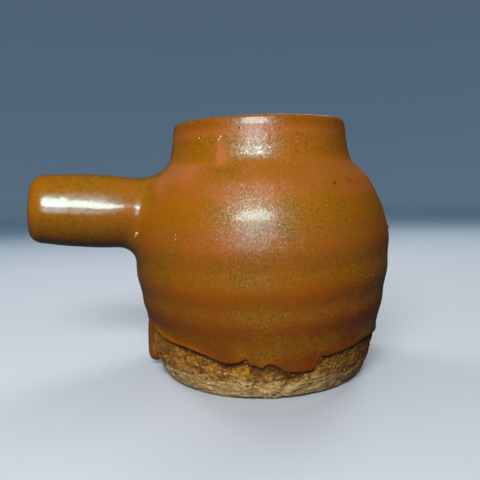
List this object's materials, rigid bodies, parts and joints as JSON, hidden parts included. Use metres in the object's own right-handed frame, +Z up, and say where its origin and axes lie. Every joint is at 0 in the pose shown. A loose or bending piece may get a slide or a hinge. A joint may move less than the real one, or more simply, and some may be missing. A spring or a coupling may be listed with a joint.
{
  "type": "side-handled stoneware pot",
  "caption": "Small round-bellied stoneware pot with a short straight neck, one hollow stub side handle, glossy brown ash glaze and a bare clay foot.",
  "frame": {"origin": "centre of the foot's resting face", "axes": "+Z up out of the mouth; the handle points along -X; +Y completes a right-handed frame"},
  "size_m": [0.1359, 0.0994, 0.0958],
  "materials": {
    "bare_clay": "unglazed coarse stoneware, matt, sandy to the touch",
    "amber_glaze": "glossy amber-brown ash glaze, olive where it pools and rust-brown where it is thin",
    "inner_glaze": "thin glossy brown glaze",
    "dark_glaze": "thick glossy glaze, near black-brown where it gathers"
  },
  "bodies": {
    "root": {"foot_disc": "bare_clay", "belly_wall": "bare_clay", "neck_collar": "bare_clay", "handle_tube": "bare_clay", "handle_slip_fillet": "bare_clay", "outer_glaze": "amber_glaze", "inner_glaze": "inner_glaze", "handle_glaze": "amber_glaze", "glaze_runs": "dark_glaze", "glaze_drip": "dark_glaze"}
  },
  "joints": []
}
